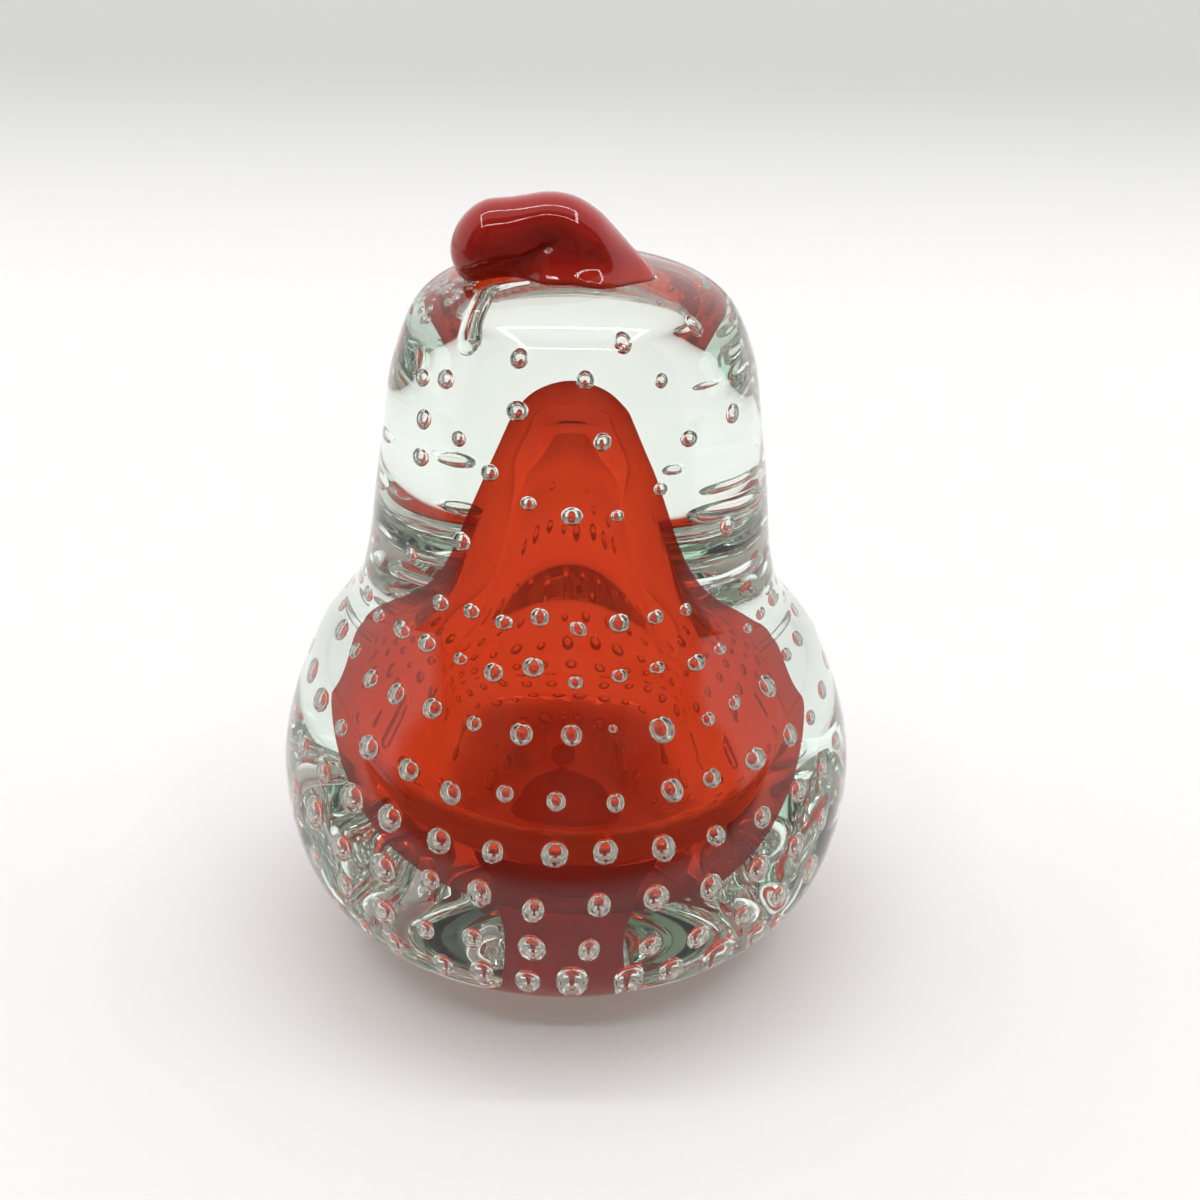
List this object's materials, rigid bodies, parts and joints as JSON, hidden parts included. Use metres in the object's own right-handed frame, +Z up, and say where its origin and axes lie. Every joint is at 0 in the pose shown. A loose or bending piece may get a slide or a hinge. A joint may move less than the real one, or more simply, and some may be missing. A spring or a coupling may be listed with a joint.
{
  "type": "glass pear paperweight",
  "caption": "Thick clear glass pear paperweight over a blown red glass bubble, with rows of trapped air bubbles and a curled red stem, ground flat to stand on its base.",
  "frame": {"origin": "middle of the ground base, on the surface that the paperweight stands on", "axes": "+Z up along the pear's axis, -Y the front, where the clear tail of the stem runs down the dome, +X to the right of that front"},
  "size_m": [0.085, 0.085, 0.1122],
  "materials": {
    "clear_glass": "fire-polished clear glass with a faint green tint and trapped air bubbles",
    "red_glass": "translucent orange-red glass, darker where it is thick",
    "stem_red_glass": "dense glossy red glass, fire-polished"
  },
  "bodies": {
    "root": {"punty_plug": "red_glass", "red_bubble": "red_glass", "bubble_gather": "clear_glass", "outer_casing": "clear_glass", "stem": "stem_red_glass", "stem_tail": "clear_glass"}
  },
  "joints": []
}
